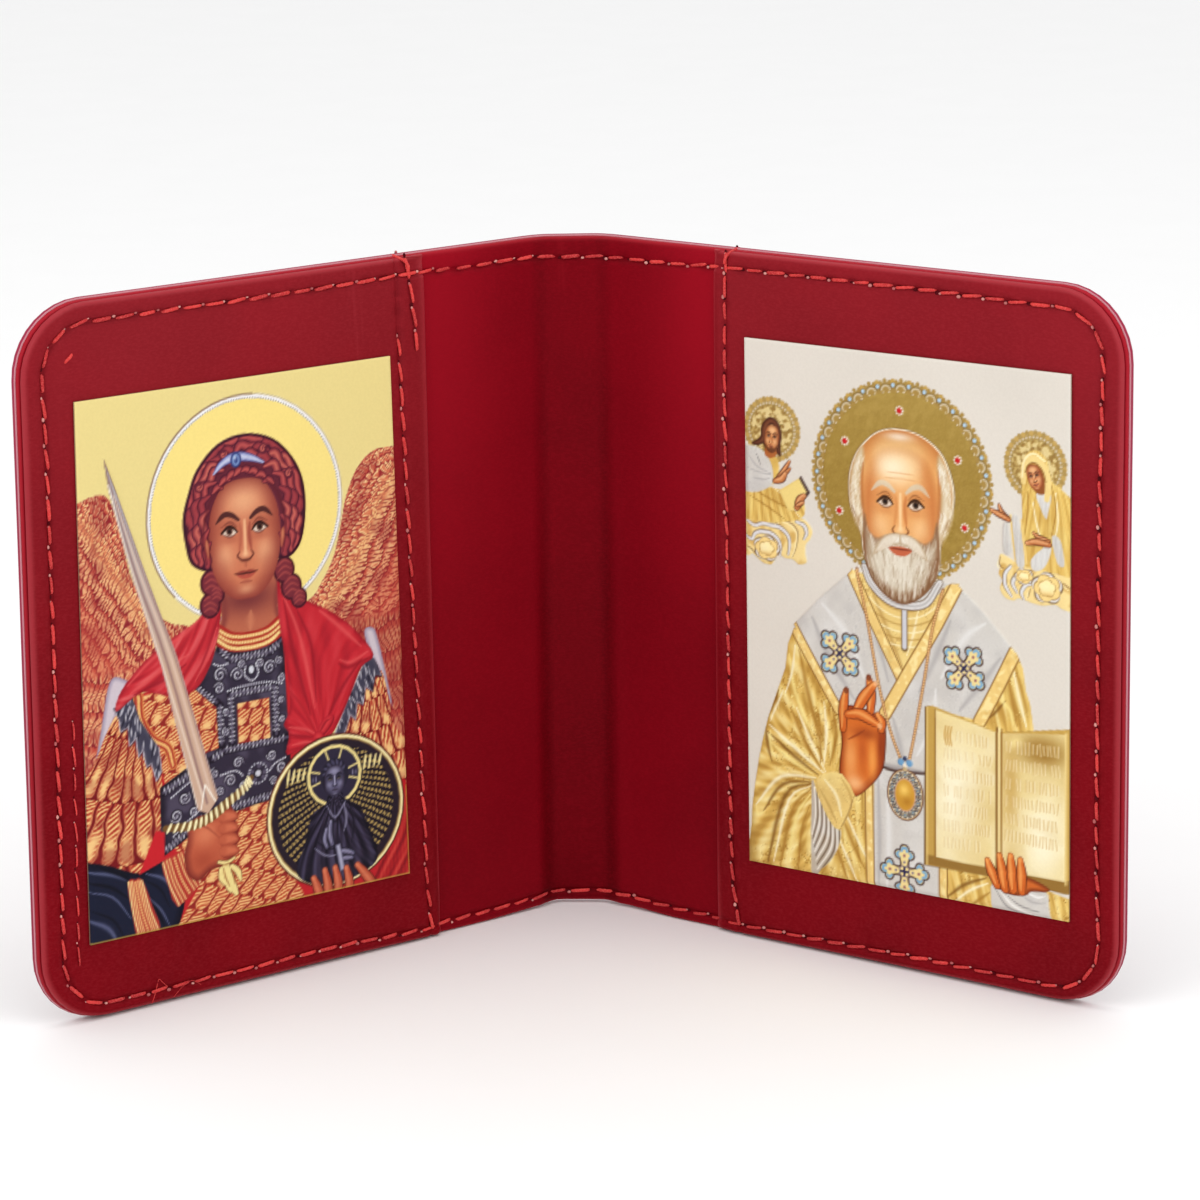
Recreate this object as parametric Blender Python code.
# Travel icon diptych: a folding leatherette case with a printed, embossed icon card on each leaf.
# Run with: blender --background --python part.py
#
# Everything is modelled on the opened-out case first, flat in the XZ plane with its inner faces
# towards -Y, and hung on two empties that stand on the fold axes. Turning the empties sets the
# case up in its standing pose. Lengths are metres, heights over the fold plane are positive
# towards the viewer, that is towards -Y.
import math

import bpy
from mathutils import Vector

MM = 0.001

# Driving dimensions of the case
CASE_HEIGHT = 120 * MM
LEAF_WIDTH = 100 * MM  # from a fold axis to the leaf's outer edge
SPINE_WIDTH = 12.0 * MM  # between the two fold axes
REST_ANGLE = math.radians(34.5)  # each leaf, turned towards the viewer from lying flat
CORNER_RADIUS = 12 * MM

# Plies, from the outside of the case inwards
COVER_PLY = 0.9 * MM
LINING_PLY = 0.8 * MM
POCKET_PLY = 1.0 * MM
CARD_PLY = 0.5 * MM
AIR = 0.3 * MM  # between neighbouring plies
FOLD_CLEARANCE = 0.2 * MM  # from a ply's end to the fold axis
POCKET_SHY = 0.5 * MM  # how far a pocket panel stops short of the case's edge
POCKET_START = 23.0 * MM  # a pocket panel's free edge, from the fold axis

# Seams: shallow channels pressed into the plies by the stitching
SEAM_SIDE = 4.0 * MM
SEAM_TOP = 4.0 * MM
SEAM_BOTTOM = 2.7 * MM
SEAM_INNER = 3.3 * MM  # from a pocket panel's free edge
SEAM_HALF_WIDTH = 0.45 * MM
SEAM_DEPTH = 0.2 * MM
EDGE_ROUND = 0.3 * MM
POCKET_EDGE_ROUND = 0.5 * MM

# Icon cards
CARD_WIDTH = 61 * MM
CARD_HEIGHT = 91 * MM
CARD_START = {-1: 30.7 * MM, 1: 30.0 * MM}  # left and right, from the fold axis to the card
CARD_BOTTOM = {-1: 13.0 * MM, 1: 14.7 * MM}  # from the case's lower edge
CARD_MARGIN = 0.4  # relief stops this far inside the card's edge, in mm
RELIEF_ROOT = 0.2 * MM  # how deep a relief shape reaches into the card

CORNER_STEPS = 7
CIRCLE_STEPS = 40

# Heights over the fold plane of each ply's two faces
COVER_FRONT = -AIR / 2
COVER_BACK = COVER_FRONT - COVER_PLY
LINING_BACK = AIR / 2
LINING_FRONT = LINING_BACK + LINING_PLY
POCKET_BACK = LINING_FRONT + AIR
POCKET_FRONT = POCKET_BACK + POCKET_PLY
CARD_BACK = POCKET_FRONT + AIR
CARD_FRONT = CARD_BACK + CARD_PLY


def clear_scene():
    for existing in list(bpy.data.objects):
        bpy.data.objects.remove(existing, do_unlink=True)


def principled(name, colour, roughness, metallic=0.0):
    made = bpy.data.materials.new(name)
    made.use_nodes = True
    shader = made.node_tree.nodes["Principled BSDF"]
    shader.inputs["Base Color"].default_value = (*colour, 1)
    shader.inputs["Roughness"].default_value = roughness
    shader.inputs["Metallic"].default_value = metallic
    return made


def add_object(name, points, faces, finish, parent):
    mesh = bpy.data.meshes.new(name)
    mesh.from_pydata([tuple(p) for p in points], [], faces)
    mesh.materials.append(finish)
    mesh.update()
    made = bpy.data.objects.new(name, mesh)
    bpy.context.scene.collection.objects.link(made)
    made.parent = parent
    return made


def fold_empty(name, x, turn):
    empty = bpy.data.objects.new(name, None)
    empty.location = (x, 0, 0)
    empty.rotation_euler = (0, 0, turn)
    bpy.context.scene.collection.objects.link(empty)
    return empty


def quarter_arc(centre, radius, start):
    """Points of a quarter circle, counter-clockwise from the start angle."""
    angles = [start + math.pi / 2 * i / CORNER_STEPS for i in range(CORNER_STEPS + 1)]
    return [(centre[0] + radius * math.cos(a), centre[1] + radius * math.sin(a)) for a in angles]


def three_sided(start, side_inset, top_inset, bottom_inset):
    """A leaf's open outline from the fold, along the bottom, round the outer edge and back along
    the top, as distances from the fold axis and heights."""
    right = LEAF_WIDTH - side_inset
    low, high = bottom_inset, CASE_HEIGHT - top_inset
    low_radius = CORNER_RADIUS - max(side_inset, bottom_inset)
    high_radius = CORNER_RADIUS - max(side_inset, top_inset)
    outline = [(start, low)]
    outline += quarter_arc((right - low_radius, low + low_radius), low_radius, -math.pi / 2)
    outline += quarter_arc((right - high_radius, high - high_radius), high_radius, 0)
    outline.append((start, high))
    return outline


def contour_solid(name, rings, closed, finish, parent):
    """A solid from stacked outlines with the same number of points. The first and last outlines
    are its back and front. Open outlines leave an end, which one more face closes."""
    count = len(rings[0])
    points = [p for ring in rings for p in ring]
    faces = [list(range(count))[::-1], list(range((len(rings) - 1) * count, len(rings) * count))]
    steps = count if closed else count - 1
    for ring in range(len(rings) - 1):
        low, high = ring * count, (ring + 1) * count
        for i in range(steps):
            j = (i + 1) % count
            faces.append([low + i, low + j, high + j, high + i])
    if not closed:
        first = [ring * count for ring in range(len(rings))]
        last = [ring * count + count - 1 for ring in range(len(rings))]
        faces.append(first + last[::-1])
    return add_object(name, points, faces, finish, parent)


def mirrored(rings, side):
    """Outlines for the right leaf (side 1), or mirrored and turned about for the left (side -1)."""
    if side > 0:
        return rings
    return [[Vector((-p.x, p.y, p.z)) for p in reversed(ring)] for ring in rings]


def ply_profile(back, front, edge_round, seam_on_back):
    """The steps in from a ply's edge, from its back face to its front face: rounded edges and the
    stitched channel. Each step is (distance in from the edge, distance beyond the seam, height):
    a step near the edge counts in from it, and a step of the channel counts from the seam line."""
    step = edge_round * 0.3
    edge = [
        (edge_round, None, back),
        (step, None, back + step),
        (0, None, back + edge_round),
        (0, None, front - edge_round),
        (step, None, front - step),
        (edge_round, None, front),
    ]
    face, floor = (back, back + SEAM_DEPTH) if seam_on_back else (front, front - SEAM_DEPTH)
    channel = [
        (None, -SEAM_HALF_WIDTH, face),
        (None, -SEAM_HALF_WIDTH * 0.3, floor),
        (None, SEAM_HALF_WIDTH * 0.3, floor),
        (None, SEAM_HALF_WIDTH, face),
    ]
    return channel[::-1] + edge if seam_on_back else edge + channel


def leaf_ply(name, side, back, front, seam_on_back, finish, parent):
    """A cover or lining ply of one leaf. Its end at the fold is mitred in front of the fold plane,
    so that the case can close, and square behind it."""
    rings = []
    for inward, past_seam, height in ply_profile(back, front, EDGE_ROUND, seam_on_back):
        start = FOLD_CLEARANCE + max(height, 0)
        if past_seam is None:
            outline = three_sided(start, inward, inward, inward)
        else:
            outline = three_sided(
                start, SEAM_SIDE + past_seam, SEAM_TOP + past_seam, SEAM_BOTTOM + past_seam
            )
        rings.append([Vector((x, -height, z)) for x, z in outline])
    return contour_solid(name, mirrored(rings, side), False, finish, parent)


def spine_ply(name, back, front, seam_on_back, finish):
    """The strip between the folds: one section through the height, drawn out sideways to ends that
    match the leaves' mitres."""
    profile = ply_profile(back, front, EDGE_ROUND, seam_on_back)
    bottom = []
    top = []
    for inward, past_seam, height in profile:
        low = inward if past_seam is None else SEAM_BOTTOM + past_seam
        high = inward if past_seam is None else SEAM_TOP + past_seam
        bottom.append((low, height))
        top.append((CASE_HEIGHT - high, height))
    section = bottom + top[::-1]
    count = len(section)
    points = []
    for end in (1, -1):
        for z, height in section:
            reach = SPINE_WIDTH / 2 - FOLD_CLEARANCE - max(height, 0)
            points.append(Vector((end * reach, -height, z)))
    faces = [list(range(count))[::-1], list(range(count, 2 * count))]
    for i in range(count):
        j = (i + 1) % count
        faces.append([i, j, count + j, count + i])
    return add_object(name, points, faces, finish, None)


def pocket_outline(side_inset, top_inset, bottom_inset, free_inset):
    """A pocket panel's closed outline: rounded at the case's corners, nearly square at the free
    edge that faces the spine."""
    left, right = POCKET_START + free_inset, LEAF_WIDTH - POCKET_SHY - side_inset
    low, high = POCKET_SHY + bottom_inset, CASE_HEIGHT - POCKET_SHY - top_inset
    outer = CORNER_RADIUS - POCKET_SHY
    low_radius = outer - max(side_inset, bottom_inset)
    high_radius = outer - max(side_inset, top_inset)
    outline = [(left, low)]
    outline += quarter_arc((right - low_radius, low + low_radius), low_radius, -math.pi / 2)
    outline += quarter_arc((right - high_radius, high - high_radius), high_radius, 0)
    outline.append((left, high))
    return outline


def pocket_panel(name, side, finish, parent):
    rings = []
    for inward, past_seam, height in ply_profile(
        POCKET_BACK, POCKET_FRONT, POCKET_EDGE_ROUND * 0.9, False
    ):
        if past_seam is None:
            outline = pocket_outline(inward, inward, inward, inward)
        else:
            outline = pocket_outline(
                SEAM_SIDE - POCKET_SHY + past_seam,
                SEAM_TOP - POCKET_SHY + past_seam,
                SEAM_BOTTOM - POCKET_SHY + past_seam,
                SEAM_INNER + past_seam,
            )
        rings.append([Vector((x, -height, z)) for x, z in outline])
    return contour_solid(name, mirrored(rings, side), True, finish, parent)


def smooth_outline(points, steps=3):
    """A closed curve through the points, by the Catmull-Rom rule."""
    count = len(points)
    smooth = []
    for i in range(count):
        before, here, there, after = (Vector(points[(i + k) % count]) for k in (-1, 0, 1, 2))
        for step in range(steps):
            t = step / steps
            smooth.append(
                0.5
                * (
                    2 * here
                    + (there - before) * t
                    + (2 * before - 5 * here + 4 * there - after) * t * t
                    + (3 * here - before - 3 * there + after) * t * t * t
                )
            )
    return [(p.x, p.y) for p in smooth]


def ellipse(centre, rx, ry=None, steps=CIRCLE_STEPS):
    ry = rx if ry is None else ry
    angles = [2 * math.pi * (i + 0.5) / steps for i in range(steps)]
    return [(centre[0] + rx * math.cos(a), centre[1] + ry * math.sin(a)) for a in angles]


def scalloped(centre, radius, depth, lobes):
    """A circle whose rim runs in small round lobes."""
    steps = lobes * 4
    outline = []
    for i in range(steps):
        angle = 2 * math.pi * i / steps
        reach = radius - depth * (1 - abs(math.sin(angle * lobes / 2)))
        outline.append((centre[0] + reach * math.cos(angle), centre[1] + reach * math.sin(angle)))
    return outline


def budded_cross(centre, arm, lobe, turn):
    """The outline of an equal-armed cross whose arms end in three-lobed buds."""
    outline = []
    for quarter in range(4):
        heading = turn + quarter * math.pi / 2
        for across, along in ((-0.3, 0.3), (-0.35, 0.55), (-1, 0.75), (-0.75, 1.2)):
            outline.append((along * arm, across * lobe, heading))
        for across, along in ((0, 1.4), (0.75, 1.2), (1, 0.75), (0.35, 0.55)):
            outline.append((along * arm, across * lobe, heading))
    placed = []
    for along, across, heading in outline:
        placed.append(
            (
                centre[0] + along * math.cos(heading) - across * math.sin(heading),
                centre[1] + along * math.sin(heading) + across * math.cos(heading),
            )
        )
    return placed


# Each relief shape is (outline in mm from the card's lower left corner, height in mm).
HALO = (31.4, 69.5)
MEDALLION = (46.7, 14.3)


def archangel_relief():
    left_wing = [(0, 74.6), (3, 75.3), (5.6, 74), (7.6, 68), (9.6, 60), (13.5, 55), (18, 52),
                 (17, 47), (9, 44), (6, 38), (3, 31), (0, 26)]
    right_wing = [(62, 75.6), (59.5, 76), (56.5, 75.2), (54, 72.5), (52.3, 67), (51, 60.5),
                  (48, 56), (44, 51.5), (48, 46), (55, 42), (57.5, 33), (59, 24), (62, 20)]
    figure = [(31.5, 81.5), (26, 80), (22.3, 76.3), (20.4, 72.5), (19.6, 68), (20.4, 64),
              (23.5, 60.2), (23, 57), (22.7, 53.5), (18, 49), (10, 45), (5.6, 40.5), (5, 35),
              (3, 24), (0, 14), (-1, 4), (3, -2), (31, -3), (58, -2), (62, 6), (62, 17), (58, 25),
              (56.5, 34), (55.4, 40.5), (50, 46), (43, 51.3), (40, 55), (38.3, 59), (41, 63),
              (42.6, 68.5), (41.5, 74), (37, 79.8)]
    left_cloak = [(25.2, 56.5), (25.2, 49), (23, 43.5), (19, 40.3), (14, 40.2), (9, 41), (6, 39.6),
                  (9, 44), (15, 47.8), (21.5, 51.5)]
    right_cloak = [(37, 55), (41.5, 52), (48, 47.7), (54.6, 41), (52, 35), (48, 30), (43, 26),
                   (39.8, 25.6), (37.9, 31), (37.5, 42), (36.9, 48)]
    breastplate = [(25, 46.5), (37.5, 46.5), (38, 30), (38.8, 19), (30, 17.8), (13.2, 16.2),
                   (13.6, 24), (24.8, 29.5), (24.6, 36), (20.5, 40)]
    blade = [(4.9, 81), (9, 70), (16, 47.5), (24.2, 20.5), (22.4, 18.8), (19.8, 20.4), (10, 58)]
    guard = [(14.6, 17.8), (22, 19.6), (29, 23.4), (30.4, 22.4), (23, 18.3), (15, 16.4)]
    fist = [(18.3, 17), (26.4, 18.6), (27.3, 13), (26, 9.5), (20, 9), (17.8, 12.5)]
    bust = [(46.5, 23.5), (44.4, 21), (45, 17), (41.6, 14), (39.8, 6), (44, 3.5), (50, 3.5),
            (53.6, 6), (52, 14), (48.3, 17), (48.8, 21)]
    return [
        (smooth_outline(left_wing), 0.10),
        (smooth_outline(right_wing), 0.11),
        (ellipse(HALO, 19.0), 0.06),
        (smooth_outline(figure, 2), 0.16),
        (smooth_outline(breastplate, 2), 0.21),
        (smooth_outline(left_cloak, 2), 0.25),
        (smooth_outline(right_cloak, 2), 0.26),
        (ellipse(MEDALLION, 13.2), 0.30),
        (smooth_outline(bust, 2), 0.36),
        (blade, 0.31),
        (guard, 0.41),
        (smooth_outline(fist, 2), 0.37),
    ]


def bishop_relief():
    robe = [(22.5, 57), (18.5, 53.5), (13.5, 48.5), (9.4, 43), (7.5, 36), (5.2, 30), (3.4, 24),
            (1.5, 14), (-1, 6), (0, -2), (31, -3), (61, -2), (62, 14), (62, 31), (56.5, 31),
            (53.6, 38), (51, 43.5), (46, 48.8), (40.8, 54.2), (37.5, 57)]
    head = [(30, 78.8), (25.5, 77.3), (21.8, 73), (20.5, 67.5), (21.5, 63), (23.2, 59), (24, 54.2),
            (27.3, 51), (30.4, 50), (33.5, 51), (36.3, 54.2), (37.3, 59), (38.9, 63), (39.8, 68),
            (38.7, 73), (34.8, 77.3)]
    stole = [(20.4, 54.2), (25, 45), (30.3, 36), (35.6, 45), (40, 54.2), (46, 48.8), (50.6, 43.5),
             (44.5, 32), (36.5, 30), (34.7, 22), (34.7, 0), (24.7, 0), (24.7, 22), (16.5, 30),
             (10, 43.5), (13.8, 48.5)]
    book = [(35, 32.8), (48, 30.6), (62, 32.6), (62, 5.4), (48.4, 6.1), (34.6, 5.4)]
    blessing_hand = [(18.8, 33.3), (20, 32), (22, 33), (24, 36.3), (25.4, 35.3), (24, 31), (26.6, 29),
                     (26.7, 24), (25, 18.5), (21, 15.2), (18.5, 18), (19.2, 24), (18.4, 29)]
    holding_hand = [(45.6, 8.2), (47.3, 8), (48.2, 9.8), (50.2, 10.2), (52.6, 9.6), (53.4, 6), (53, 3.4),
                    (48.3, 3.2)]
    left_saint = [(5.2, 78), (3.3, 76), (3, 72.5), (0, 70), (-1, 60), (3, 54), (8, 53.5), (11.5, 57),
                  (12.2, 64), (9, 68), (8.6, 71), (6.8, 73), (7, 76.5)]
    right_saint = [(55, 78), (52.5, 75.5), (52.9, 71), (51, 68), (47.3, 68), (49, 64.5), (48.4, 58),
                   (50, 53.5), (56, 53.4), (62, 52.5), (62, 66), (59.5, 71), (57.8, 76)]
    shapes = [
        (scalloped((30, 70), 17.1, 0.9, 30), 0.10),
        (ellipse((30, 70), 15.3), 0.15),
        (scalloped((5.2, 75.9), 5.2, 0.4, 14), 0.09),
        (scalloped((54.8, 75.6), 5.7, 0.4, 14), 0.12),
        (smooth_outline(left_saint, 2), 0.17),
        (smooth_outline(right_saint, 2), 0.18),
        (smooth_outline(robe, 2), 0.14),
        (stole, 0.19),
        (smooth_outline(head, 2), 0.24),
        (smooth_outline(blessing_hand, 2), 0.30),
        (book, 0.31),
        (smooth_outline(holding_hand, 2), 0.38),
        (ellipse((30.7, 17.1), 3.4, 4.6, 24), 0.33),
    ]
    for centre, turn in (((18.2, 39.5), 45), ((41.9, 40.5), 51), ((30.5, 3.4), 90)):
        shapes.append((budded_cross(centre, 3.0, 1.55, math.radians(turn)), 0.27))
    return shapes


def clipped(outline):
    """The outline cut back to the card's relief area, side by side."""
    width, height = CARD_WIDTH / MM, CARD_HEIGHT / MM
    limits = (
        (0, 1, CARD_MARGIN),
        (0, -1, CARD_MARGIN - width),
        (1, 1, CARD_MARGIN),
        (1, -1, CARD_MARGIN - height),
    )
    for axis, sign, limit in limits:
        kept = []
        for i, here in enumerate(outline):
            before = outline[i - 1]
            inside, was_inside = sign * here[axis] > limit, sign * before[axis] > limit
            if inside != was_inside:
                share = (limit * sign - before[axis]) / (here[axis] - before[axis])
                kept.append(tuple(before[k] + share * (here[k] - before[k]) for k in (0, 1)))
            if inside:
                kept.append(here)
        outline = kept
    return outline


def turned_forward(outline):
    """The outline in the order that makes its front face look at the viewer."""
    area = sum(a[0] * b[1] - b[0] * a[1] for a, b in zip(outline, outline[1:] + outline[:1]))
    return outline if area > 0 else outline[::-1]


def prism(name, outline, back, front, finish, parent, corner):
    """A flat-faced solid over an outline that is in mm from the card's lower left corner."""
    rings = []
    for height in (back, front):
        ring = []
        for x, z in turned_forward(outline):
            ring.append(Vector((corner[0] + x * MM, -height, corner[1] + z * MM)))
        rings.append(ring)
    return contour_solid(name, rings, True, finish, parent)


def icon_card(name, side, relief, finish, parent):
    """A card with its embossed shapes joined on, each its own step above the card."""
    left_edge = CARD_START[side] if side > 0 else -CARD_START[side] - CARD_WIDTH
    corner = (left_edge, CARD_BOTTOM[side])
    width, height = CARD_WIDTH / MM, CARD_HEIGHT / MM
    corners = [(0, 0), (width, 0), (width, height), (0, height)]
    card = prism(name, corners, CARD_BACK, CARD_FRONT, finish, parent, corner)
    for number, (outline, rise) in enumerate(relief):
        shape = prism(
            f"{name}_relief_{number:02d}",
            clipped(outline),
            CARD_FRONT - RELIEF_ROOT - number * 0.005 * MM,
            CARD_FRONT + rise * MM,
            finish,
            parent,
            corner,
        )
        shape.hide_render = True
        shape.display_type = "WIRE"
        union = card.modifiers.new(f"relief {number}", "BOOLEAN")
        union.operation = "UNION"
        union.solver = "EXACT"
        union.object = shape
    return card


def centre_on_floor():
    """Moves the case so that its bounding box is centred on the origin and stands on z = 0."""
    bpy.context.view_layer.update()
    corners = []
    for piece in bpy.context.scene.objects:
        if piece.type == "MESH" and not piece.hide_render:
            corners += [piece.matrix_world @ v.co for v in piece.data.vertices]
    middle = (min(c.y for c in corners) + max(c.y for c in corners)) / 2
    for piece in bpy.context.scene.objects:
        if piece.parent is None:
            piece.location.y -= middle


def build_diptych():
    clear_scene()
    cover_red = principled("cover_leatherette", (0.19, 0.004, 0.010), 0.42)
    lining_red = principled("lining_leatherette", (0.21, 0.004, 0.012), 0.45)
    pocket_red = principled("pocket_leatherette", (0.23, 0.006, 0.014), 0.42)
    print_left = principled("icon_print_left", (0.78, 0.55, 0.22), 0.35)
    print_right = principled("icon_print_right", (0.72, 0.68, 0.60), 0.35)

    spine_ply("cover_spine", COVER_BACK, COVER_FRONT, True, cover_red)
    spine_ply("lining_spine", LINING_BACK, LINING_FRONT, False, lining_red)
    for word, side, finish, relief in (
        ("left", -1, print_left, archangel_relief()),
        ("right", 1, print_right, bishop_relief()),
    ):
        fold = fold_empty(f"{word}_fold", side * SPINE_WIDTH / 2, -side * REST_ANGLE)
        leaf_ply(f"cover_{word}", side, COVER_BACK, COVER_FRONT, True, cover_red, fold)
        leaf_ply(f"lining_{word}", side, LINING_BACK, LINING_FRONT, False, lining_red, fold)
        pocket_panel(f"pocket_{word}", side, pocket_red, fold)
        icon_card(f"icon_{word}", side, relief, finish, fold)
    centre_on_floor()


build_diptych()
